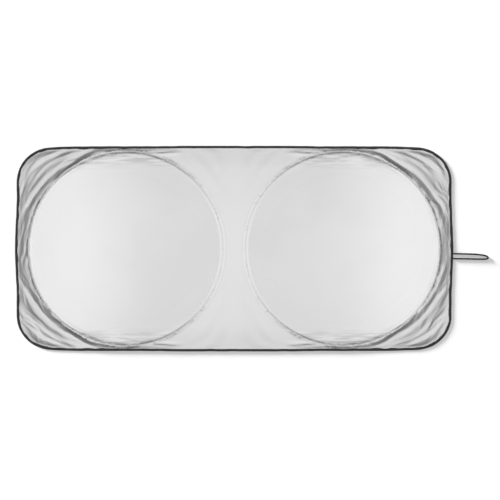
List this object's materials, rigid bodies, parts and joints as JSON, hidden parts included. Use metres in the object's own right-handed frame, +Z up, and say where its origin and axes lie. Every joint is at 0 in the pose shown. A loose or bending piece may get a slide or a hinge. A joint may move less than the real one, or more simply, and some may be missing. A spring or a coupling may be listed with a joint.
{
  "type": "windscreen sunshade",
  "caption": "Twist-fold windscreen sunshade: silver coated cloth held open by two sewn-in spring steel hoops, with a black bound edge and an elastic loop.",
  "frame": {"origin": "middle of the shade's outline, at the height of the surface it lies on", "axes": "+X along the length towards the edge with the elastic loop, +Y across the width, +Z up out of the silver face"},
  "size_m": [1.6211, 0.703, 0.0054],
  "materials": {
    "silver_cloth": "satin aluminium coating on plain woven polyester",
    "binding_tape": "matt woven tape",
    "spring_steel": "bare tempered wire",
    "sleeve_metal": "crimped soft metal",
    "casing_cloth": "plain woven polyester strip",
    "elastic": "braided elastic"
  },
  "bodies": {
    "root": {"silver_sheet": "silver_cloth", "edge_binding": "binding_tape", "left_hoop": "spring_steel", "right_hoop": "spring_steel", "left_hoop_sleeve": "sleeve_metal", "right_hoop_sleeve": "sleeve_metal", "left_hoop_casing": "casing_cloth", "right_hoop_casing": "casing_cloth", "elastic_loop": "elastic"}
  },
  "joints": []
}
